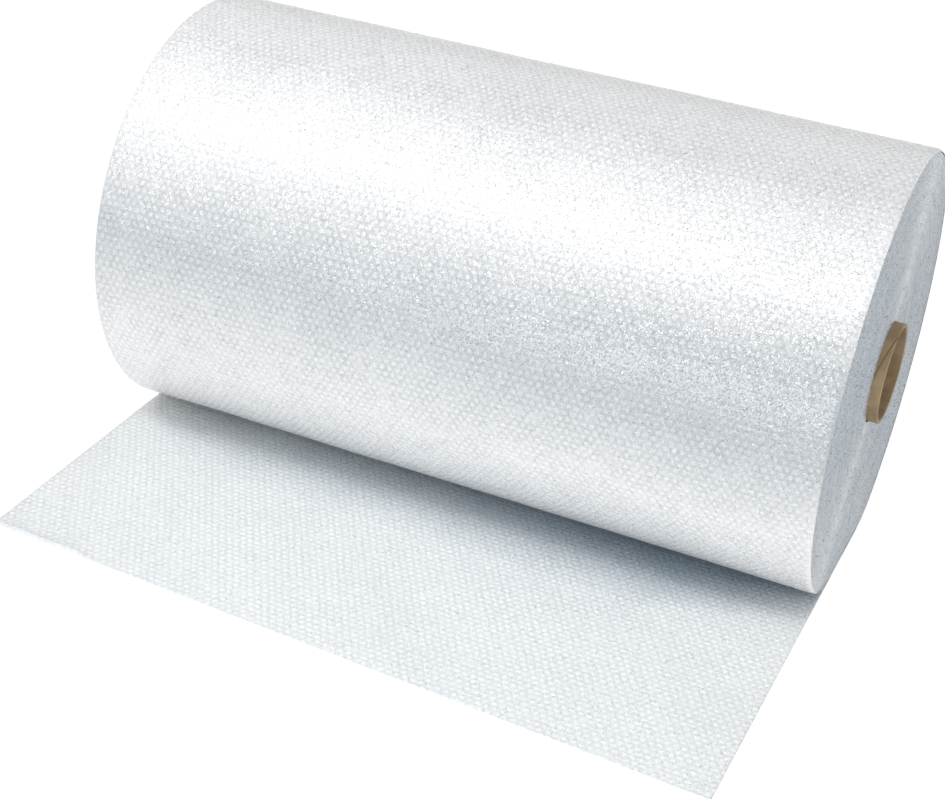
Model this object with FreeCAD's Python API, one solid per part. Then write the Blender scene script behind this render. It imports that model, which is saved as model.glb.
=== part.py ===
import FreeCAD, Part
import math
import os

# Bubble wrap roll, lying on its side with its loose end laid out on the floor in front of it.
# The cushioning film is one long sheet wound on a cardboard tube. X runs along the tube, the
# loose end points to -Y, and Z is up. The origin is on the floor, under the middle of the tube.
# All sizes are in millimetres.

# The wound film
ROLL_WIDTH = 1000.0        # width of the film, end face to end face
ROLL_RADIUS = 296.0        # round part of the outermost turn, from the middle of the roll
PRESSED_DEPTH = 24.0       # how far the roll's own weight presses its underside flat
PRESSED_BEND = 0.45        # bend beside the flat underside, as a share of the turn's radius
LEAST_FLAT = 1.0           # a turn with a shorter flat stretch than this isn't pressed at all
TURNS = 16                 # modelled turns, each a pack of the real thin ones
TURN_GAP = 1.0             # air between neighbouring packs of turns

# The loose end
FILM_THICKNESS = 4.0       # one sheet, over its bubbles
BUBBLE_PITCH = 10.5        # from the middle of one bubble to the next one in its row
BUBBLE_TOP = 4.5           # flat top of a bubble
WELD_HEIGHT = 0.8          # the sheet between two rows of bubbles, where its skins are welded
LOOSE_LENGTH = 566.0       # from under the tube to the cut edge, at the middle of the width
CUT_SKEW = 48.0            # how much longer than the -X side the loose end is at its +X side
NIP_RISE = 60.0            # stretch over which the loose sheet meets the wound pack
OVERCUT = 1.0              # how far the knife's wedge reaches past the sheet that it cuts

# The cardboard tube
TUBE_OUTER_RADIUS = 66.0
TUBE_WALL = 5.0
TUBE_STANDOUT = 13.0       # how far the tube stands out of each end face
TUBE_RIM_CHAMFER = 0.8     # worn edge of the cut tube
TUBE_CLEARANCE = 0.3       # between the tube and the innermost turn

# Worked out from the sizes above
ROW_PITCH = BUBBLE_PITCH * math.sqrt(3) / 2
TURN_PITCH = (ROLL_RADIUS + TURN_GAP - TUBE_OUTER_RADIUS - TUBE_CLEARANCE) / (TURNS + 0.5)
PRESSED_PITCH = TURN_PITCH - PRESSED_DEPTH / TURNS
PACK = TURN_PITCH - TURN_GAP
PRESSED_PACK = PRESSED_PITCH - TURN_GAP
REAR_HEIGHT = ROLL_RADIUS - PRESSED_DEPTH
FRONT_HEIGHT = REAR_HEIGHT + TURN_PITCH / 2


def point(y, z):
    """A point of the roll's section, at the -X end face."""
    return FreeCAD.Vector(-ROLL_WIDTH / 2, y, z)


def line(start, end):
    return Part.LineSegment(start, end).toShape()


def arc(start, middle, end):
    return Part.Arc(start, middle, end).toShape()


def half_flat(radius, depth):
    """Half the width of a turn's flat underside, which lies depth below the middle of the roll.

    The bend beside the flat touches both the flat and the turn's own circle, and that sets where
    the flat ends.
    """
    pressed = max(radius - depth, 0.0)
    return math.sqrt(pressed * (radius + depth - 2 * PRESSED_BEND * radius))


def half_turn(side, centre_height, radius, floor_height):
    """Half of one turn, from its flat underside to its top, on the +Y side (1) or the -Y side (-1).

    The underside is a straight stretch, a tighter bend follows it, and the rest is the turn's
    own circle. The three meet without a corner. A turn that isn't pressed is a half circle.
    """
    bend = PRESSED_BEND * radius
    depth = centre_height - floor_height
    flat = half_flat(radius, depth)
    # The bend's centre lies on one line with the circle's centre and the place where they meet.
    low = math.atan2(bend - depth, flat)

    def on_circle(centre_y, centre_z, r, angle):
        return point(side * (centre_y + r * math.cos(angle)), centre_z + r * math.sin(angle))

    start = point(0, floor_height)
    top = point(0, centre_height + radius)
    if flat < LEAST_FLAT:
        round_radius = (top.z - start.z) / 2
        return [arc(start, on_circle(0, floor_height + round_radius, round_radius, 0), top)]
    flat_end = point(side * flat, floor_height)
    bend_middle = on_circle(flat, floor_height + bend, bend, (low - math.pi / 2) / 2)
    bend_end = on_circle(0, centre_height, radius, low)
    round_middle = on_circle(0, centre_height, radius, (low + math.pi / 2) / 2)
    return [line(start, flat_end), arc(flat_end, bend_middle, bend_end), arc(bend_end, round_middle, top)]


def wound_face(inset, pressed_inset):
    """One face of the wound film, from under the roll inwards to the tube.

    The insets are 0 for the outer face of a pack of turns, and its thickness for the inner face,
    less on the pressed underside. Each turn is two half circles whose centres are half a pitch
    apart, so they meet at the top and at the underside without a corner, and neighbouring turns
    keep the same distance.
    """
    edges = []
    for turn in range(TURNS):
        rear_radius = ROLL_RADIUS - inset - turn * TURN_PITCH
        front_radius = rear_radius - TURN_PITCH / 2
        rear_floor = pressed_inset + turn * PRESSED_PITCH
        front_floor = rear_floor + PRESSED_PITCH
        edges += half_turn(1, REAR_HEIGHT, rear_radius, rear_floor)
        edges += half_turn(-1, FRONT_HEIGHT, front_radius, front_floor)
    return edges


def bubble_rows(front, back):
    """The upper face of the loose end, where each row of bubbles is one ridge across the film."""
    rows = round((back - front) / ROW_PITCH)
    step = (back - front) / rows
    edges = []
    for row in range(rows):
        foot = front + row * step
        middle = foot + step / 2
        top_start = point(middle - BUBBLE_TOP / 2, FILM_THICKNESS)
        top_end = point(middle + BUBBLE_TOP / 2, FILM_THICKNESS)
        edges.append(line(point(foot, WELD_HEIGHT), top_start))
        edges.append(line(top_start, top_end))
        edges.append(line(top_end, point(foot + step, WELD_HEIGHT)))
    return edges


def askew_cut(longest):
    """What the knife took off when the loose end was cut, a thin wedge along its front edge."""
    half = ROLL_WIDTH / 2
    half_skew = CUT_SKEW / 2
    beyond = -longest - OVERCUT
    corners = [(-half, half_skew - LOOSE_LENGTH), (half, -half_skew - LOOSE_LENGTH)]
    corners += [(half, beyond), (-half, beyond)]
    outline = [FreeCAD.Vector(x, y, -OVERCUT) for x, y in corners]
    wedge = Part.Face(Part.makePolygon(outline + outline[:1]))
    return wedge.extrude(FreeCAD.Vector(0, 0, FILM_THICKNESS + 2 * OVERCUT))


def film():
    """The whole sheet: the loose end, and the turns that wind on from it, as one solid."""
    longest = LOOSE_LENGTH + abs(CUT_SKEW) / 2
    nip = half_flat(ROLL_RADIUS, REAR_HEIGHT)
    last_row = -nip - NIP_RISE
    inner_end = TURNS * PRESSED_PITCH
    edges = [line(point(0, 0), point(-longest, 0))]
    edges.append(line(point(-longest, 0), point(-longest, WELD_HEIGHT)))
    edges += bubble_rows(-longest, last_row)
    edges.append(line(point(last_row, WELD_HEIGHT), point(-nip, PRESSED_PACK)))
    edges.append(line(point(-nip, PRESSED_PACK), point(0, PRESSED_PACK)))
    edges += wound_face(PACK, PRESSED_PACK)
    edges.append(line(point(0, inner_end), point(0, inner_end + PRESSED_PACK)))
    edges += wound_face(0, 0)
    section = Part.Wire(Part.__sortEdges__(edges))
    wound = Part.Face(section).extrude(FreeCAD.Vector(ROLL_WIDTH, 0, 0))
    return wound.cut(askew_cut(longest))


def tube():
    """The cardboard tube, its section turned round the axis and its four rims a little worn."""
    half = ROLL_WIDTH / 2 + TUBE_STANDOUT
    inner = TUBE_OUTER_RADIUS - TUBE_WALL
    wear = TUBE_RIM_CHAMFER
    outline = [(-half, inner + wear), (-half + wear, inner), (half - wear, inner), (half, inner + wear)]
    outline += [(half, TUBE_OUTER_RADIUS - wear), (half - wear, TUBE_OUTER_RADIUS)]
    outline += [(-half + wear, TUBE_OUTER_RADIUS), (-half, TUBE_OUTER_RADIUS - wear)]
    corners = [FreeCAD.Vector(x, 0, FRONT_HEIGHT + r) for x, r in outline]
    section = Part.Face(Part.makePolygon(corners + corners[:1]))
    return section.revolve(FreeCAD.Vector(0, 0, FRONT_HEIGHT), FreeCAD.Vector(1, 0, 0), 360)


os.makedirs("parts", exist_ok=True)
for name, shape in (("bubble_wrap", film()), ("cardboard_tube", tube())):
    shape.exportStep("parts/" + name + ".step")
    print(name, "valid", shape.isValid(), "solids", len(shape.Solids), "litres", round(shape.Volume / 1e6, 2))
print("turn pitch", round(TURN_PITCH, 3), "tube height", round(FRONT_HEIGHT, 2))
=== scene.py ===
# %% [markdown]
# # A roll of bubble wrap
# This lesson dresses a roll of bubble cushioning film. The film is wound on a cardboard tube, and its
# loose end is laid out on the floor. The roll's sizes come from a fixed frame that is loaded first:
# nothing in the frame is moved, and every new piece is built in metres, right where it belongs.

# %% Load the frame
import math

import bmesh
import bpy
import numpy as np
from mathutils import Matrix, Vector


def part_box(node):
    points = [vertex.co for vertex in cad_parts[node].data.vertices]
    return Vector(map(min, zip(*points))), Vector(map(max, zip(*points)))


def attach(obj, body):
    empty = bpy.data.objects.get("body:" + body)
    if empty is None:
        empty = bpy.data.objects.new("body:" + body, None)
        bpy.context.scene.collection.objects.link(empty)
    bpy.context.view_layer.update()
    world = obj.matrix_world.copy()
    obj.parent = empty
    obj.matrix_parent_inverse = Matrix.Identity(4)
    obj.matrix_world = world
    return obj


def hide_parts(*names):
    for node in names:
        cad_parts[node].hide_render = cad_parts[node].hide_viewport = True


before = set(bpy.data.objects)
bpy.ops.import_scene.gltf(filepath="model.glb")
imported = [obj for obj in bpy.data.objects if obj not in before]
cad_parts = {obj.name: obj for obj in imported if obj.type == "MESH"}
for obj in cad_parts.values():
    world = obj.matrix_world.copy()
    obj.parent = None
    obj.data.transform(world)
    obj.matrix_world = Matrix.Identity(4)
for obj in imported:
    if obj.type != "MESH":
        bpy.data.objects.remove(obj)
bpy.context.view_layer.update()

film_low, film_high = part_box("bubble_wrap")
tube_low, tube_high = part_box("cardboard_tube")

# %% [markdown]
# ## The sizes of the roll
# The wound film is round, apart from its underside, which its own weight presses flat. So the box
# round the film gives almost all of the roll's sizes: its back is one radius behind the tube, and
# its top is one radius above the middle of the roll. A few sizes that a box can't give are listed.

# %% Sizes
MM = 0.001
HALF_WIDTH = film_high.x
ROLL_RADIUS = film_high.y
MIDDLE_HEIGHT = film_high.z - ROLL_RADIUS
CUT_LONG = -film_low.y                # the loose end at its longer side, from under the tube
CUT_SHORT = CUT_LONG - 48 * MM        # and at its shorter side, as the knife ran askew
TUBE_RADIUS = (tube_high.z - tube_low.z) / 2
TUBE_HEIGHT = (tube_high.z + tube_low.z) / 2
FILM_THICKNESS = 4 * MM               # one sheet, over its bubbles
PRESSED_BEND = 0.45                   # the bend beside the flat underside, as a share of the radius

BUBBLES_ACROSS = 95
BUBBLE_PITCH = 2 * HALF_WIDTH / BUBBLES_ACROSS
ROW_PITCH = BUBBLE_PITCH * math.sqrt(3) / 2
CORNER_REACH = BUBBLE_PITCH / math.sqrt(3)
BUBBLE_RADIUS = 0.46 * BUBBLE_PITCH
print("bubbles every", round(BUBBLE_PITCH / MM, 2), "mm, in rows", round(ROW_PITCH / MM, 2), "mm apart")

# %% [markdown]
# ## Looking through the photographer's camera
# The camera stands in front of the roll, a little to its right, above it, and slightly tilted to one
# side. Three angles turn it: round the roll, up, and about its own line of sight. The picture was
# trimmed after it was taken, so the line of sight meets it a little left of its middle, and a small
# shift of the lens does the same here.

# %% Camera
PICTURE_WIDTH, PICTURE_HEIGHT = 945, 800
SIGHT_COLUMN, SIGHT_ROW = 400, 400    # where the line of sight meets the picture, in pixels
FOCAL_PIXELS = 1924
SENSOR = 36.0
CAMERA_PLACE = (0.8111, -2.2834, 1.3337)

camera_round, camera_up, camera_tilt = (math.radians(a) for a in (23.12, 27.55, 5.25))
back = Vector((
    math.sin(camera_round) * math.cos(camera_up),
    -math.cos(camera_round) * math.cos(camera_up),
    math.sin(camera_up),
))
level_right = Vector((math.cos(camera_round), math.sin(camera_round), 0))
level_up = back.cross(level_right)
right = math.cos(camera_tilt) * level_right + math.sin(camera_tilt) * level_up
up = back.cross(right)

lens = bpy.data.cameras.new("photo_camera")
lens.sensor_width = SENSOR
lens.lens = FOCAL_PIXELS * SENSOR / PICTURE_WIDTH
lens.shift_x = (PICTURE_WIDTH / 2 - SIGHT_COLUMN) / PICTURE_WIDTH
lens.shift_y = (SIGHT_ROW - PICTURE_HEIGHT / 2) / PICTURE_WIDTH
camera = bpy.data.objects.new("photo_camera", lens)
bpy.context.scene.collection.objects.link(camera)
turn = Matrix((right, up, back)).transposed().to_4x4()
camera.matrix_world = Matrix.Translation(CAMERA_PLACE) @ turn
bpy.context.scene.camera = camera
print("lens", round(lens.lens, 1), "mm, shift", round(lens.shift_x, 3))

# %% [markdown]
# ## Small helpers for colour and materials
# Colours are written as a designer picks them, as sRGB hex. Blender works in linear light, so one
# function turns them. Another adds a node with its settings and its links in a single line.

# %% Colour and node helpers
def linear(hex_colour):
    """An sRGB hex colour, turned to the linear light that Blender works in."""
    channels = [int(hex_colour[i:i + 2], 16) / 255 for i in (0, 2, 4)]
    return [c / 12.92 if c <= 0.04045 else ((c + 0.055) / 1.055) ** 2.4 for c in channels] + [1.0]


def add(tree, kind, settings=None, **inputs):
    """Adds a node. Inputs are values, or the outputs of other nodes, by the socket's name or number."""
    node = tree.nodes.new(kind)
    for name, value in (settings or {}).items():
        setattr(node, name, value)
    for name, value in inputs.items():
        socket = node.inputs[int(name[1:])] if name[0] == "_" else node.inputs[name.replace("_", " ")]
        if isinstance(value, bpy.types.NodeSocket):
            tree.links.new(value, socket)
        else:
            socket.default_value = value
    return node


def new_material(name):
    material = bpy.data.materials.new(name)
    material.use_nodes = True
    material.node_tree.nodes.clear()
    return material, material.node_tree


# %% [markdown]
# ## Polyethylene film
# Bubble wrap is two skins of low density polyethylene, one flat and one drawn into bubbles and welded
# to it. A single sheet is clear, but seventy turns scatter the light and read as a cold white. What
# is left of the clearness is gloss, so a clear coat lies over the white. Light is mirrored at each of
# the uppermost skins, so together they mirror more than one does, and the coat's IOR is set higher
# than polyethylene's 1.51. Handling leaves the film full of tiny flat creases, one or two millimetres
# long. Most lie nearly level and a few stand steep, and those that face a lamp flash. Here they are
# the cells of a Voronoi pattern, each with its own random tilt: a number between -1 and 1 to the fifth
# power is mostly small and seldom large. The welds round the bubbles are a shade darker, and a painted
# shade is added to them in places. Each piece says how dark, point by point, in an attribute named
# weld_and_painted_shade.

# %% Film material
CREASE_SIZE = 1.4 * MM
WRINKLE_SIZE = 3.5 * MM               # soft wrinkles between the creases
CLOUD_SIZE = 120 * MM                 # slow patches, where the turns lie more or less tight
CLOUD_SHADE = 0.06                    # how far the darkest patch is on its way to the shade
LAYERED_IOR = 2.0


def make_film(name, pale, shade, tilt, grain, gloss):
    """Film whose colour runs from pale to shade. Its creases tilt and darken it by these amounts."""
    material, tree = new_material(name)
    place = add(tree, "ShaderNodeTexCoord").outputs["Object"]
    weld_and_painted_shade = add(tree, "ShaderNodeAttribute", {"attribute_name": "weld_and_painted_shade"}).outputs["Fac"]
    creases = add(tree, "ShaderNodeTexVoronoi", Vector=place, Scale=1 / CREASE_SIZE)
    crease_parts = add(tree, "ShaderNodeSeparateXYZ", Vector=creases.outputs["Color"])
    fine = add(tree, "ShaderNodeTexNoise", Vector=place, Scale=1 / WRINKLE_SIZE, Detail=2.0, Roughness=0.7)
    broad = add(tree, "ShaderNodeTexNoise", Vector=place, Scale=1 / CLOUD_SIZE, Detail=2.0)

    # How dark the film is: the welds with the painted shade in their marks, each crease a little,
    # and slow cloudy patches.
    crease_dark = add(tree, "ShaderNodeMath", {"operation": "MULTIPLY"}, _0=crease_parts.outputs[0],
                      _1=grain)
    cloud = add(tree, "ShaderNodeMapRange", Value=broad.outputs["Fac"], _1=0.35, _2=0.65, _3=0.0,
                _4=CLOUD_SHADE)
    darker = add(tree, "ShaderNodeMath", {"operation": "ADD"}, _0=weld_and_painted_shade, _1=crease_dark.outputs[0])
    darkest = add(tree, "ShaderNodeMath", {"operation": "ADD", "use_clamp": True}, _0=darker.outputs[0],
                  _1=cloud.outputs[0])
    colour = add(tree, "ShaderNodeMix", {"data_type": "RGBA"}, _0=darkest.outputs[0])
    colour.inputs[6].default_value = linear(pale)
    colour.inputs[7].default_value = linear(shade)

    # Which way each crease faces: the surface's own direction, and a random tilt added to it.
    relief = add(tree, "ShaderNodeBump", Strength=0.5, Distance=0.5 * MM, Height=fine.outputs["Fac"])
    random_way = add(tree, "ShaderNodeVectorMath", {"operation": "MULTIPLY_ADD"},
                     _0=creases.outputs["Color"], _1=(2, 2, 2), _2=(-1, -1, -1)).outputs[0]
    squared = add(tree, "ShaderNodeVectorMath", {"operation": "MULTIPLY"}, _0=random_way,
                  _1=random_way).outputs[0]
    fourth = add(tree, "ShaderNodeVectorMath", {"operation": "MULTIPLY"}, _0=squared, _1=squared)
    seldom_large = add(tree, "ShaderNodeVectorMath", {"operation": "MULTIPLY"}, _0=fourth.outputs[0],
                       _1=random_way)
    tilted = add(tree, "ShaderNodeVectorMath", {"operation": "MULTIPLY_ADD"}, _0=seldom_large.outputs[0],
                 _1=(tilt, tilt, tilt), _2=relief.outputs[0])
    facing = add(tree, "ShaderNodeVectorMath", {"operation": "NORMALIZE"}, _0=tilted.outputs[0]).outputs[0]

    skin = add(tree, "ShaderNodeBsdfPrincipled", Base_Color=colour.outputs[2], Roughness=0.4,
               IOR=1.51, Coat_Weight=gloss, Coat_Roughness=0.2, Coat_IOR=LAYERED_IOR,
               Normal=facing, Coat_Normal=facing)
    add(tree, "ShaderNodeOutputMaterial", Surface=skin.outputs[0])
    return material


# The shade colours darken the welds and also carry painted shade. The laid-out film's shade is bluer for its
# painted shadow near the roll. The ends' film is greyer, partly as film seen edge on and partly as a painted
# shade of the ends.
film_on_roll = make_film("polyethylene_film_on_roll", "FBFBFC", "A6ADB2", 0.7, 0.12, 1.0)
film_laid_out = make_film("polyethylene_film_laid_out", "F7F9F9", "9FAFBB", 0.65, 0.12, 0.6)
film_edges = make_film("polyethylene_film_edges", "D8E1E8", "95A3AF", 1.3, 0.5, 0.7)
print("film materials:", film_on_roll.name, film_laid_out.name, film_edges.name)

# %% [markdown]
# ## Kraft board
# The tube is wound from strips of brown kraft board, glued in a spiral, so a slanting seam runs round
# it every few centimetres. Board is matt and a little fibrous, and its cut rim is paler than its face.

# %% Board material
STRIP_WIDTH = 90 * MM                 # one strip's width along the tube
SEAM_SHARE = 0.03                     # the part of that width that its seam takes up
FIBRE_SIZE, BLOTCH_SIZE = 1.2 * MM, 25 * MM


def make_board():
    material, tree = new_material("kraft_board")
    place = add(tree, "ShaderNodeTexCoord").outputs["Object"]
    middle = add(tree, "ShaderNodeVectorMath", {"operation": "SUBTRACT"}, _0=place, _1=(0, 0, TUBE_HEIGHT))
    parts = add(tree, "ShaderNodeSeparateXYZ", Vector=middle.outputs[0])
    angle = add(tree, "ShaderNodeMath", {"operation": "ARCTAN2"}, _0=parts.outputs["Z"],
                _1=parts.outputs["Y"])
    turns = add(tree, "ShaderNodeMath", {"operation": "DIVIDE"}, _0=angle.outputs[0], _1=2 * math.pi)
    along = add(tree, "ShaderNodeMath", {"operation": "DIVIDE"}, _0=parts.outputs["X"], _1=STRIP_WIDTH)
    spiral = add(tree, "ShaderNodeMath", {"operation": "ADD"}, _0=along.outputs[0], _1=turns.outputs[0])
    seam = add(tree, "ShaderNodeMath", {"operation": "FRACT"}, _0=spiral.outputs[0])
    line = add(tree, "ShaderNodeMapRange", Value=seam.outputs[0], _1=0.0, _2=SEAM_SHARE, _3=1.0, _4=0.0)
    fibre = add(tree, "ShaderNodeTexNoise", Vector=place, Scale=1 / FIBRE_SIZE, Detail=4.0, Roughness=0.65)
    blotch = add(tree, "ShaderNodeTexNoise", Vector=place, Scale=1 / BLOTCH_SIZE, Detail=3.0)
    tone = add(tree, "ShaderNodeMath", {"operation": "MULTIPLY_ADD"}, _0=fibre.outputs["Fac"], _1=0.5,
               _2=blotch.outputs["Fac"])
    shade = add(tree, "ShaderNodeValToRGB", Fac=tone.outputs[0])
    shade.color_ramp.elements[0].position = 0.45
    shade.color_ramp.elements[0].color = linear("8A7558")
    shade.color_ramp.elements[1].position = 0.95
    shade.color_ramp.elements[1].color = linear("AE9878")
    with_seam = add(tree, "ShaderNodeMix", {"data_type": "RGBA"}, _0=line.outputs[0])
    tree.links.new(shade.outputs[0], with_seam.inputs[6])
    with_seam.inputs[7].default_value = linear("6B5943")
    relief = add(tree, "ShaderNodeMath", {"operation": "SUBTRACT"}, _0=fibre.outputs["Fac"],
                 _1=line.outputs[0])
    bump = add(tree, "ShaderNodeBump", Strength=0.35, Distance=0.4 * MM, Height=relief.outputs[0])
    skin = add(tree, "ShaderNodeBsdfPrincipled", Base_Color=with_seam.outputs[2], Roughness=0.82,
               IOR=1.5, Specular_IOR_Level=0.35, Normal=bump.outputs[0])
    add(tree, "ShaderNodeOutputMaterial", Surface=skin.outputs[0])
    return material


board = make_board()
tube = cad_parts["cardboard_tube"]
for slot in tube.material_slots:
    slot.material = board
print("tube dressed in", board.name)

# %% [markdown]
# ## One bubble
# All bubbles are alike, so one is modelled and the rest are copies. It starts as a small disc, the
# foot of the bubble. Its rim is extruded outwards to a hexagon, the flat weld round it, because
# hexagons fill a sheet with no gap. Then the disc is inset and raised into a dome. A bubble is only
# a few pixels wide in the picture and there are thousands, so it gets a few dozen faces.

# %% Model one bubble
WELD_SHADE = 0.38                     # how far a weld's colour is on its way to the film's shade


def nothing_selected():
    if bpy.context.mode != "OBJECT":
        bpy.ops.object.mode_set(mode="OBJECT")
    bpy.ops.object.select_all(action="DESELECT")


def select_verts(mesh_object, wanted):
    """In edit mode, selects the vertices for which wanted(place) is true, and what they span."""
    bpy.ops.mesh.select_all(action="DESELECT")
    bpy.ops.mesh.select_mode(type="VERT")
    shape = bmesh.from_edit_mesh(mesh_object.data)
    for vert in shape.verts:
        vert.select_set(bool(wanted(vert.co)))
    shape.select_flush_mode()
    bmesh.update_edit_mesh(mesh_object.data)


def one_bubble(name, shoulder, shoulder_share, height):
    """A bubble of this height. Its shoulder is a share of its radius wide, and a share of its height up."""
    nothing_selected()
    bpy.ops.mesh.primitive_circle_add(vertices=6, radius=BUBBLE_RADIUS, fill_type="TRIFAN")
    cell = bpy.context.object
    cell.name = cell.data.name = name
    bpy.ops.object.mode_set(mode="EDIT")
    bpy.ops.mesh.select_all(action="SELECT")
    bpy.ops.mesh.region_to_loop()
    bpy.ops.mesh.extrude_edges_indiv()
    grow = CORNER_REACH / BUBBLE_RADIUS
    bpy.ops.transform.resize(value=(grow, grow, 1), center_override=(0, 0, 0))
    select_verts(cell, lambda v: v.xy.length < BUBBLE_RADIUS * 1.01)
    inward = BUBBLE_RADIUS * math.cos(math.pi / 6) * (1 - shoulder)
    bpy.ops.mesh.inset(thickness=inward, depth=height * shoulder_share)
    select_verts(cell, lambda v: v.xy.length < BUBBLE_RADIUS * 0.1)
    bpy.ops.transform.translate(value=(0, 0, height * (1 - shoulder_share)))
    bpy.ops.object.mode_set(mode="OBJECT")
    weld_and_painted_shade = cell.data.attributes.new("weld_and_painted_shade", "FLOAT", "POINT")
    for vert, mark in zip(cell.data.vertices, weld_and_painted_shade.data):
        reach = vert.co.xy.length / BUBBLE_RADIUS
        mark.value = WELD_SHADE if abs(reach - 1) < 0.02 else 0.4 * WELD_SHADE if reach > 1 else 0.0
    print(name, len(cell.data.vertices), "points,", len(cell.data.polygons), "faces")
    return cell


# %% [markdown]
# ## From one bubble to a sheet
# Three Array modifiers repeat the bubble: along its row, then into a second row that is moved by half
# a bubble, then both rows down the sheet. Copies share their edges, and merging joins them. At the
# two sides of the film the knife of the machine cut straight through the bubbles, and so does bisect.
# No two bubbles are equally full, so each gets its own height at random.

# %% Repeat the bubble
def repeat(sheet, step, count):
    array = sheet.modifiers.new("repeat", "ARRAY")
    array.use_relative_offset = False
    array.use_constant_offset = True
    array.constant_offset_displace = step
    array.count = count
    bpy.ops.object.modifier_apply(modifier=array.name)


def bubble_sheet(name, cell, rows, row_pitch, first_row):
    """A flat sheet across the whole width. Its first row of bubbles is centred on y = first_row."""
    nothing_selected()
    sheet = cell.copy()
    sheet.data = cell.data.copy()
    sheet.name = sheet.data.name = name
    bpy.context.scene.collection.objects.link(sheet)
    sheet.select_set(True)
    bpy.context.view_layer.objects.active = sheet
    sheet.data.transform(Matrix.Translation((-HALF_WIDTH, first_row, 0)) @ Matrix.Diagonal(
        (1, row_pitch / ROW_PITCH, 1, 1)))
    repeat(sheet, (BUBBLE_PITCH, 0, 0), BUBBLES_ACROSS + 1)
    repeat(sheet, (BUBBLE_PITCH / 2, row_pitch, 0), 2)
    repeat(sheet, (0, 2 * row_pitch, 0), rows // 2)
    bpy.ops.object.mode_set(mode="EDIT")
    bpy.ops.mesh.select_all(action="SELECT")
    bpy.ops.mesh.remove_doubles(threshold=0.05 * MM)
    for side in (-1, 1):
        bpy.ops.mesh.select_all(action="SELECT")
        bpy.ops.mesh.bisect(plane_co=(side * HALF_WIDTH, 0, 0), plane_no=(side, 0, 0), clear_outer=True)
    bpy.ops.mesh.select_all(action="SELECT")
    bpy.ops.mesh.normals_make_consistent(inside=False)
    bpy.ops.object.mode_set(mode="OBJECT")
    return sheet


def points_of(piece):
    points = np.empty(len(piece.data.vertices) * 3)
    piece.data.vertices.foreach_get("co", points)
    return points.reshape(-1, 3)


def place_points(piece, points):
    piece.data.vertices.foreach_set("co", points.ravel())
    piece.data.update()


def fullness(x, y, row_pitch, first_row, least, seed):
    """How full the bubble at each point of a flat sheet is, from least to 1, at random."""
    draw = np.random.default_rng(seed)
    row = np.clip(np.round((y - first_row) / row_pitch), 0, None).astype(int)
    column = np.clip(np.round((x + HALF_WIDTH) / BUBBLE_PITCH - 0.5 * (row % 2)), 0, None).astype(int)
    return draw.uniform(least, 1, (row.max() + 1, column.max() + 1))[row, column]


def change_marks(piece, factors, extra):
    """Multiplies a piece's weld marks and adds painted shade and other marks to them, point by point."""
    weld_and_painted_shade = piece.data.attributes["weld_and_painted_shade"].data
    marks = np.empty(len(weld_and_painted_shade), np.float32)
    weld_and_painted_shade.foreach_get("value", marks)
    weld_and_painted_shade.foreach_set("value", (marks * factors + extra).astype(np.float32))


def finish_piece(piece, material):
    piece.data.materials.clear()
    piece.data.materials.append(material)
    for face in piece.data.polygons:
        face.use_smooth = True
    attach(piece, "root")
    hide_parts("bubble_wrap")
    triangles = sum(len(face.vertices) - 2 for face in piece.data.polygons)
    print(piece.name, triangles, "triangles")


# %% [markdown]
# ## The line that the film is wound on
# Seen from its end, one turn of film is a straight stretch on the floor, a bend, and a long round
# stretch up to the top, and then the same again down the front. The front half is one film thickness
# smaller, because there the turn comes down on top of its own loose end. A point of the flat sheet
# is wound by measuring its distance along this line.

# %% The wound line
class HalfTurn:
    """Half a turn in the Y-Z plane, measured from the middle of its flat underside up to its top."""

    def __init__(self, side, radius, middle, floor):
        self.side, self.radius, self.middle, self.floor = side, radius, middle, floor
        self.bend = PRESSED_BEND * radius
        depth = middle - floor
        self.flat = math.sqrt((radius - depth) * (radius + depth - 2 * self.bend))
        self.low = math.atan2(self.bend - depth, self.flat)
        self.bend_length = self.bend * (self.low + math.pi / 2)
        self.length = self.flat + self.bend_length + radius * (math.pi / 2 - self.low)

    def place(self, distance):
        """The points at these distances, and the angles that the film faces there."""
        on_bend = -math.pi / 2 + (distance - self.flat) / self.bend
        on_round = self.low + (distance - self.flat - self.bend_length) / self.radius
        y = self.radius * np.cos(on_round)
        z = self.middle + self.radius * np.sin(on_round)
        bending = distance < self.flat + self.bend_length
        y = np.where(bending, self.flat + self.bend * np.cos(on_bend), y)
        z = np.where(bending, self.floor + self.bend * (1 + np.sin(on_bend)), z)
        angle = np.where(bending, on_bend, on_round)
        level = distance < self.flat
        y = np.where(level, distance, y)
        z = np.where(level, self.floor, z)
        angle = np.where(level, -math.pi / 2, angle)
        return self.side * y, z, self.side * np.cos(angle), np.sin(angle)


rear = HalfTurn(1, ROLL_RADIUS, MIDDLE_HEIGHT, 0.0)
front = HalfTurn(-1, ROLL_RADIUS - FILM_THICKNESS / 2, MIDDLE_HEIGHT + FILM_THICKNESS / 2, FILM_THICKNESS)
TURN_LENGTH = rear.length + front.length


def on_turn(distance):
    """Points and facing of the outer turn, from under the roll up its back and down its front."""
    behind = rear.place(distance)
    before = front.place(TURN_LENGTH - distance)
    return [np.where(distance < rear.length, a, b) for a, b in zip(behind, before)]


def waves(u, v, shortest, count, seed):
    """Soft unevenness between about -1 and 1: a few slow waves in random directions."""
    draw = np.random.default_rng(seed)
    total = np.zeros_like(u)
    for _ in range(count):
        heading, phase = draw.uniform(0, 2 * math.pi, 2)
        pace = 2 * math.pi / (shortest * draw.uniform(1, 3))
        total += np.sin(pace * (u * math.cos(heading) + v * math.sin(heading)) + phase)
    return total / math.sqrt(count * 2)


print("one turn is", round(TURN_LENGTH, 3), "m of film")
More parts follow.
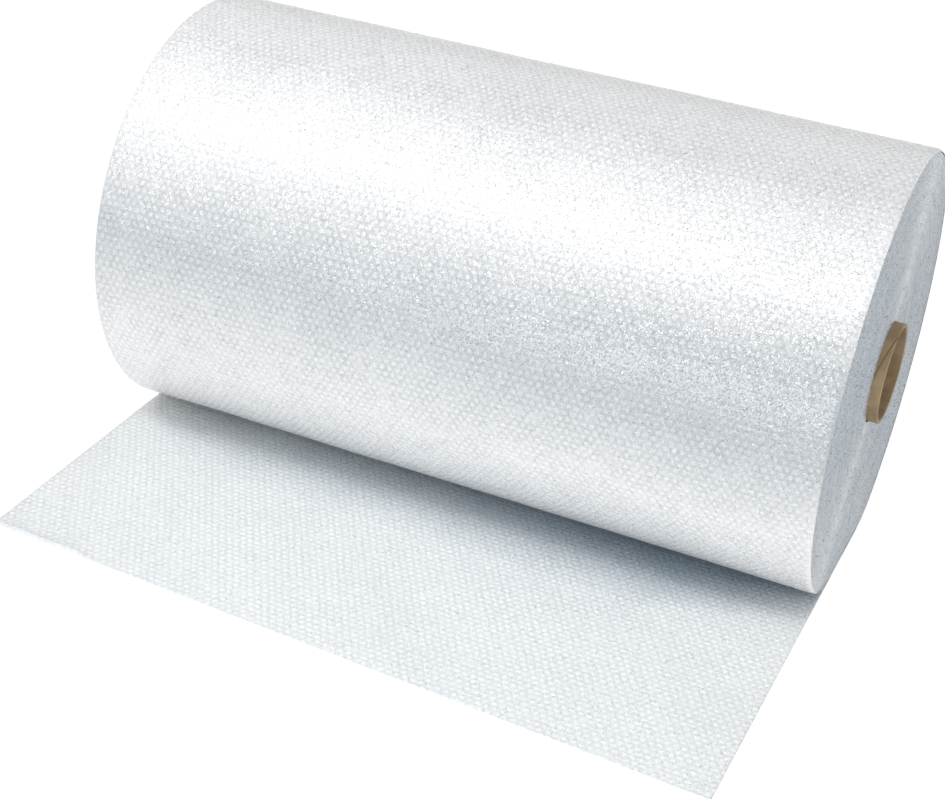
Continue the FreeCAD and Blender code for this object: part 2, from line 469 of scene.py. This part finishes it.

# %% [markdown]
# ## The outer turn
# The flat skin faces outwards here, and the air behind it pushes it into low swellings. The sheet is
# made flat, in four bands, and then wound. The turn isn't perfectly tight, so slow waves take up to
# a millimetre off it, and that breaks up its long highlight. Towards the ends of the roll the film
# has nothing to lie on and draws in, which rounds the rim. Light also travels on inside the clear
# turns, which an opaque white can't do: it leaves the lowest film the whitest and the middle of the
# front the greyest. So a painted shade is added to the weld marks, by the way that the film faces.

# %% Wind the outer turn
CRUMPLE = 0.12 * MM                   # the small unevenness of handled film, from point to point
SWELL = 0.55 * MM                     # height of a swelling on the outer face
RIM_WIDTH, RIM_DROP = 6 * MM, 3 * MM  # how far from the end the rim rounds, and how far it draws in
SLACK, SLACK_WAVE = 0.7 * MM, 0.11    # how loose the turn is, and its shortest wave, in metres
LEAST_FULL = 0.4                      # of the emptiest swelling
LOW_RIM = 40 * MM                     # near the floor the rim is pressed and doesn't draw in
BANDS = 4

# Painted shade of the film by the slope that it faces, in degrees: down is -90 and up is 90.
PAINTED_SHADE_SLOPES = [-90, -24, -8, 10, 28, 42, 54, 68, 90]
PAINTED_SLOPE_SHADES = [0.0, 0.0, 0.4, 0.87, 0.38, 0.1, 0.08, 0.22, 0.0]
# Painted shade: a little more of it towards the right end, and less towards the left.
PAINTED_SHADE_AT_RIGHT = 0.2


def rim_drop(x):
    over = np.clip((np.abs(x) - (HALF_WIDTH - RIM_WIDTH)) / RIM_WIDTH, 0, 1)
    return RIM_DROP * (1 - np.sqrt(1 - over ** 2))


def painted_shade_by_facing(x, facing_back, facing_up):
    """The wound film's painted shade by the way that it faces: how far its colour goes to the shade.

    The lowest film is painted the whitest. The right end is painted a little darker,
    and the back more evenly.
    """
    slope = np.degrees(np.arcsin(np.clip(facing_up, -1, 1)))
    shade = np.interp(slope, PAINTED_SHADE_SLOPES, PAINTED_SLOPE_SHADES)
    return shade * (1 + PAINTED_SHADE_AT_RIGHT * x / HALF_WIDTH) * np.clip(0.7 - facing_back, 0.4, 1)


def wind(piece, row_pitch, first_row, seed):
    x, distance, height = points_of(piece).T
    full = fullness(x, distance, row_pitch, first_row, LEAST_FULL, seed)
    full = full * np.clip((HALF_WIDTH - np.abs(x)) / RIM_WIDTH, 0, 1)
    y, z, face_y, face_z = on_turn(distance)
    # The weld marks grow with each swelling's fullness, and the painted shade is added to them.
    change_marks(piece, full, painted_shade_by_facing(x, face_y, face_z))
    slack = SLACK * (1 + waves(x, distance, SLACK_WAVE, 9, 5)) / 2
    crumple = CRUMPLE * np.random.default_rng(seed + 50).uniform(-1, 0, len(x))
    off_floor = np.clip(z / LOW_RIM, 0, 1)
    lift = height * full - SWELL - slack + crumple - rim_drop(x) * off_floor
    place_points(piece, np.stack([x, y + face_y * lift, z + face_z * lift], 1))


low_bubble = one_bubble("low_bubble", 0.62, 0.8, SWELL)
rows_needed = (TURN_LENGTH - rear.flat - front.flat) / ROW_PITCH
rows_in_band = 2 * round(rows_needed / BANDS / 2)
wound_pitch = (TURN_LENGTH - rear.flat - front.flat) / (rows_in_band * BANDS)
for band in range(BANDS):
    first = rear.flat + wound_pitch * (0.5 + band * rows_in_band)
    piece = bubble_sheet(f"wound_film_{band + 1}", low_bubble, rows_in_band, wound_pitch, first)
    wind(piece, wound_pitch, first, band)
    finish_piece(piece, film_on_roll)

# %% [markdown]
# ## The loose end
# On the floor the film lies with its bubbles up, so here they are domes. A clear dome shades far less
# than a white one, so these are lower than the real ones, and near the roll lower still. The sheet is
# cut askew at its front. The knife opened the bubbles that it met, so they are pressed flat before the
# cut, and its left corner curls up a little. At the back the skin is extruded on under the roll, where
# it fills the space of one film that the roll's front half leaves. Its border is then extruded down to
# the floor and closed, which makes it one body. Near the roll a painted shadow, cooler and darker, is
# added to the weld marks.

# %% Lay out the loose end
SKIN = 0.5 * MM                       # the flat skin, with the fold of the cut under it
BUBBLE_HEIGHT = 0.9 * MM              # of a full bubble
LEAST_LAID_FULL = 0.35                # of the emptiest one
NIP = -0.072                          # where the loose end goes under the roll
CALM_REACH = 0.08                     # how far from the nip the film still lies flat and calm
CURL = 4 * MM                         # how far the corner at the left of the cut curls up
CURLS_FROM, CURLS_OVER = -0.33, 0.05  # where along the cut it begins, and over what length
CURL_REACH = 7 * MM                   # how fast the curl dies down behind the cut
NARROWER = 0.035                      # how much narrower the left half has become at the cut
WAVE, WAVE_LENGTH = 1.6 * MM, 0.16    # how far the film lifts off the floor, over what length
CUT_PRESSED = 9 * MM                  # how far from the cut the bubbles are opened and flat
ROLL_NEAR = 170 * MM                  # how far from the roll the bubbles are lower

# Near the roll a cooler, darker shadow is painted on the film: how far from the roll it reaches,
# and how much, at places across the width.
SHADOW_PLACES, SHADOW_REACH = [-0.5, -0.43, 0.3, 0.5], [0.08, 0.19, 0.19, 0.1]
PAINTED_SHADOW_PLACES, PAINTED_SHADOW_SHADES = [-0.5, -0.46, -0.4, 0.4, 0.5], [0, 0.05, 0.3, 0.95, 0.6]


def cut_line(x):
    """The y of the knife's cut across the film."""
    return -(CUT_SHORT + (CUT_LONG - CUT_SHORT) * (x + HALF_WIDTH) / (2 * HALF_WIDTH))


high_bubble = one_bubble("high_bubble", 0.7, 0.85, BUBBLE_HEIGHT)
rows_laid = 2 * math.ceil((CUT_LONG + NIP) / ROW_PITCH / 2) + 2
first_laid = NIP - (rows_laid - 1) * ROW_PITCH
loose_end = bubble_sheet("loose_end", high_bubble, rows_laid, ROW_PITCH, first_laid)
x, y, z = points_of(loose_end).T
from_cut = np.clip((y - cut_line(x)) / CUT_PRESSED, 0, 1)
beside_roll = np.clip(1 - (-rear.flat - y) / ROLL_NEAR, 0, 1)
whole = np.clip((from_cut - 0.45) / 0.4, 0.06, 1) * fullness(x, y, ROW_PITCH, first_laid, LEAST_LAID_FULL, 31)
whole *= 1 - 0.6 * beside_roll
place_points(loose_end, np.stack([x, y, z * whole], 1))

nothing_selected()
loose_end.select_set(True)
bpy.context.view_layer.objects.active = loose_end
bpy.ops.object.mode_set(mode="EDIT")
askew = Vector((CUT_LONG - CUT_SHORT, 2 * HALF_WIDTH, 0)).normalized()
bpy.ops.mesh.select_all(action="SELECT")
bpy.ops.mesh.bisect(plane_co=(HALF_WIDTH, -CUT_LONG, 0), plane_no=-askew, clear_outer=True)
bpy.ops.mesh.select_all(action="SELECT")
bpy.ops.mesh.bisect(plane_co=(0, NIP, 0), plane_no=(0, 1, 0), clear_outer=True)
bpy.ops.object.mode_set(mode="OBJECT")
x, y, z = points_of(loose_end).T
calm = np.clip((NIP - y) / CALM_REACH, 0, 1)
lift = SKIN + WAVE * calm * np.clip((1 + waves(x, y, WAVE_LENGTH, 7, 11)) / 2, 0, 1)
lift += CRUMPLE * calm * np.random.default_rng(12).uniform(0, 1, len(x))
curled = np.clip((CURLS_FROM - x) / CURLS_OVER, 0, 1) * np.exp((cut_line(x) - y) / CURL_REACH)
lift += CURL * curled * np.clip(1 + waves(x, 0 * y, 0.06, 5, 13), 0.5, 1.5)
drawn_in = np.where(x < 0, 1 - NARROWER * (NIP - y) / (CUT_LONG + NIP), 1)
place_points(loose_end, np.stack([x * drawn_in, y, z + lift], 1))
shadow_reach = np.interp(x, SHADOW_PLACES, SHADOW_REACH)
in_shadow = np.clip(1.5 - 1.5 * (-rear.flat - y) / shadow_reach, 0, 1)
beside_cut = np.clip(1.5 - (y - cut_line(x)) / (2 * MM), 0, 1)
painted_shadow = in_shadow * np.interp(x, PAINTED_SHADOW_PLACES, PAINTED_SHADOW_SHADES)
# The painted shadow is added to the weld marks, with a thin darker line along the cut. In the shadow the
# marks fade, and on the curled corner too, which paints it lighter as a painted highlight.
change_marks(loose_end, (0.6 - 0.3 * in_shadow) * (1 - 0.6 * curled), painted_shadow + 0.2 * beside_cut)

bpy.ops.object.mode_set(mode="EDIT")
select_verts(loose_end, lambda v: v.y > NIP - 0.01 * MM)
fill = FILM_THICKNESS - SWELL - SKIN
for step_back, step_up in ((6 * MM, fill), (-NIP - 7 * MM, 0), (2 * MM, -fill), (rear.flat - MM, 0)):
    bpy.ops.mesh.extrude_edges_indiv()
    bpy.ops.transform.translate(value=(0, step_back, step_up))
bpy.ops.mesh.select_all(action="DESELECT")
bpy.ops.mesh.select_non_manifold()
bpy.ops.mesh.extrude_edges_indiv()
bpy.ops.transform.resize(value=(1, 1, 0), center_override=(0, 0, 0))
bpy.ops.mesh.edge_face_add()
bpy.ops.mesh.select_all(action="SELECT")
bpy.ops.mesh.normals_make_consistent(inside=False)
bpy.ops.object.mode_set(mode="OBJECT")
finish_piece(loose_end, film_laid_out)

# %% [markdown]
# ## The ends of the roll
# Each end shows the edges of all the turns, like the rings of a tree. A flat grid is wound into one
# long spiral: its long side runs round the roll, and its short side goes from the tube outwards. Every
# other line of the grid is a film's edge and stands out, by a little more or less as the turns lie.

# %% Model both ends
RINGS = 62                            # turns that show, at about 3.5 mm each
STEPS_ROUND = 144
EDGE_DEPTH = 1.2 * MM                 # from a film's edge down to the gap beside it


def roll_end(name, side, seed):
    nothing_selected()
    bpy.ops.mesh.primitive_grid_add(x_subdivisions=STEPS_ROUND, y_subdivisions=2 * RINGS, size=2)
    piece = bpy.context.object
    piece.name = piece.data.name = name
    u, v, _ = points_of(piece).T
    round_share, out_share = (u + 1) / 2, (v + 1) / 2
    line = np.round(out_share * 2 * RINGS).astype(int)
    distance = round_share * TURN_LENGTH
    outer_y, outer_z, face_y, face_z = on_turn(distance)
    inset = (RIM_DROP + SWELL) * np.clip(outer_z / LOW_RIM, 0.1, 1)
    outer_y, outer_z = outer_y - face_y * inset, outer_z - face_z * inset
    angle = np.arctan2(outer_z - TUBE_HEIGHT, outer_y)
    inner_y, inner_z = TUBE_RADIUS * np.cos(angle), TUBE_HEIGHT + TUBE_RADIUS * np.sin(angle)
    share = np.clip(out_share + round_share / RINGS - 0.5 / RINGS, 0, 1)
    y = inner_y + (outer_y - inner_y) * share
    z = inner_z + (outer_z - inner_z) * share
    draw = np.random.default_rng(seed)
    stands = draw.uniform(0, 0.5 * MM, 2 * RINGS + 1)[line]
    stands += draw.uniform(0, 0.4 * MM, len(line))
    gap = np.where(line % 2 == 0, EDGE_DEPTH, 0)
    x = side * (HALF_WIDTH - stands - gap)
    place_points(piece, np.stack([x, y, z], 1))
    weld_and_painted_shade = piece.data.attributes.new("weld_and_painted_shade", "FLOAT", "POINT")
    # Two neighbouring turns share their dullness, which is different from the next two.
    duller = np.repeat(draw.uniform(0, 0.25, RINGS // 2 + 1), 4)[line]
    # The gaps between the films' edges get a painted shade, and each pair of turns its own dullness.
    weld_and_painted_shade.data.foreach_set("value", 0.3 * (line % 2 == 0) + duller)
    bpy.ops.object.mode_set(mode="EDIT")
    bpy.ops.mesh.select_all(action="SELECT")
    bpy.ops.mesh.remove_doubles(threshold=0.02 * MM)
    bpy.ops.object.mode_set(mode="OBJECT")
    if piece.data.polygons[len(piece.data.polygons) // 2].normal.x * side < 0:
        piece.data.flip_normals()
    finish_piece(piece, film_edges)


roll_end("roll_end_left", -1, 21)
roll_end("roll_end_right", 1, 22)

# %% [markdown]
# ## Clearing up
# The two bubbles that were copied have done their work, and they aren't part of the roll.

# %% Remove the two model bubbles
for cell in (low_bubble, high_bubble):
    bpy.data.objects.remove(cell)

# %% [markdown]
# ## Floor and light
# The roll stands on a plain white floor in a white room. For the camera the floor glows a little, so
# it reads as white paper, and yet a soft shadow stays. One long soft lamp above the front draws the
# broad highlight along the roll. Two white boards throw light back: a low one in front, on the lower
# part of the roll, and one at the right, on its end. The room's even light does the rest.

# %% Floor
FLOOR_SIZE = 30.0
nothing_selected()
bpy.ops.mesh.primitive_plane_add(size=FLOOR_SIZE, location=(0, 0, -0.2 * MM))
floor = bpy.context.object
floor.name = "floor"
paper, tree = new_material("white_paper_floor")
rays = add(tree, "ShaderNodeLightPath")
seen = add(tree, "ShaderNodeMath", {"operation": "MAXIMUM"}, _0=rays.outputs["Is Camera Ray"],
           _1=rays.outputs["Is Glossy Ray"])
seen = add(tree, "ShaderNodeMath", {"operation": "MAXIMUM"}, _0=seen.outputs[0],
           _1=rays.outputs["Is Transmission Ray"])
glow = add(tree, "ShaderNodeEmission", Color=(1, 1, 1, 1), Strength=1.1)
matt = add(tree, "ShaderNodeBsdfDiffuse", Color=linear("EFEFEF"))
share = add(tree, "ShaderNodeMath", {"operation": "MULTIPLY"}, _0=seen.outputs[0], _1=0.85)
both = add(tree, "ShaderNodeMixShader", _0=share.outputs[0], _1=matt.outputs[0], _2=glow.outputs[0])
add(tree, "ShaderNodeOutputMaterial", Surface=both.outputs[0])
floor.data.materials.append(paper)

# %% Lamps and room
def soft_lamp(name, place, aim, width, depth, power):
    lamp = bpy.data.lights.new(name, "AREA")
    lamp.shape = "RECTANGLE"
    lamp.size, lamp.size_y = width, depth
    lamp.energy = power
    holder = bpy.data.objects.new(name, lamp)
    bpy.context.scene.collection.objects.link(holder)
    facing = Vector(aim) - Vector(place)
    holder.location = place
    holder.rotation_euler = facing.to_track_quat("-Z", "Y").to_euler()


soft_lamp("long_lamp", (-0.75, -1.2, 2.2), (-0.4, 0, MIDDLE_HEIGHT), 2.8, 0.3, 29)
soft_lamp("front_reflector", (0.3, -2.2, 0.3), (0, 0, 0.12), 2.8, 0.55, 14)
soft_lamp("right_reflector", (2.6, -0.3, 0.9), (0.5, 0, 0.2), 2.0, 1.4, 9)

ROOM_LIGHT = 0.61                     # strength of the room's even light; to the camera it is white

room = bpy.data.worlds.new("white_room")
bpy.context.scene.world = room
room.use_nodes = True
tree = room.node_tree
tree.nodes.clear()
rays = add(tree, "ShaderNodeLightPath")
strength = add(tree, "ShaderNodeMapRange", Value=rays.outputs["Is Camera Ray"],
               _3=ROOM_LIGHT, _4=1.0)
light = add(tree, "ShaderNodeBackground", Color=(1, 1, 1, 1), Strength=strength.outputs[0])
add(tree, "ShaderNodeOutputWorld", Surface=light.outputs[0])
bpy.context.scene.view_settings.view_transform = "Standard"
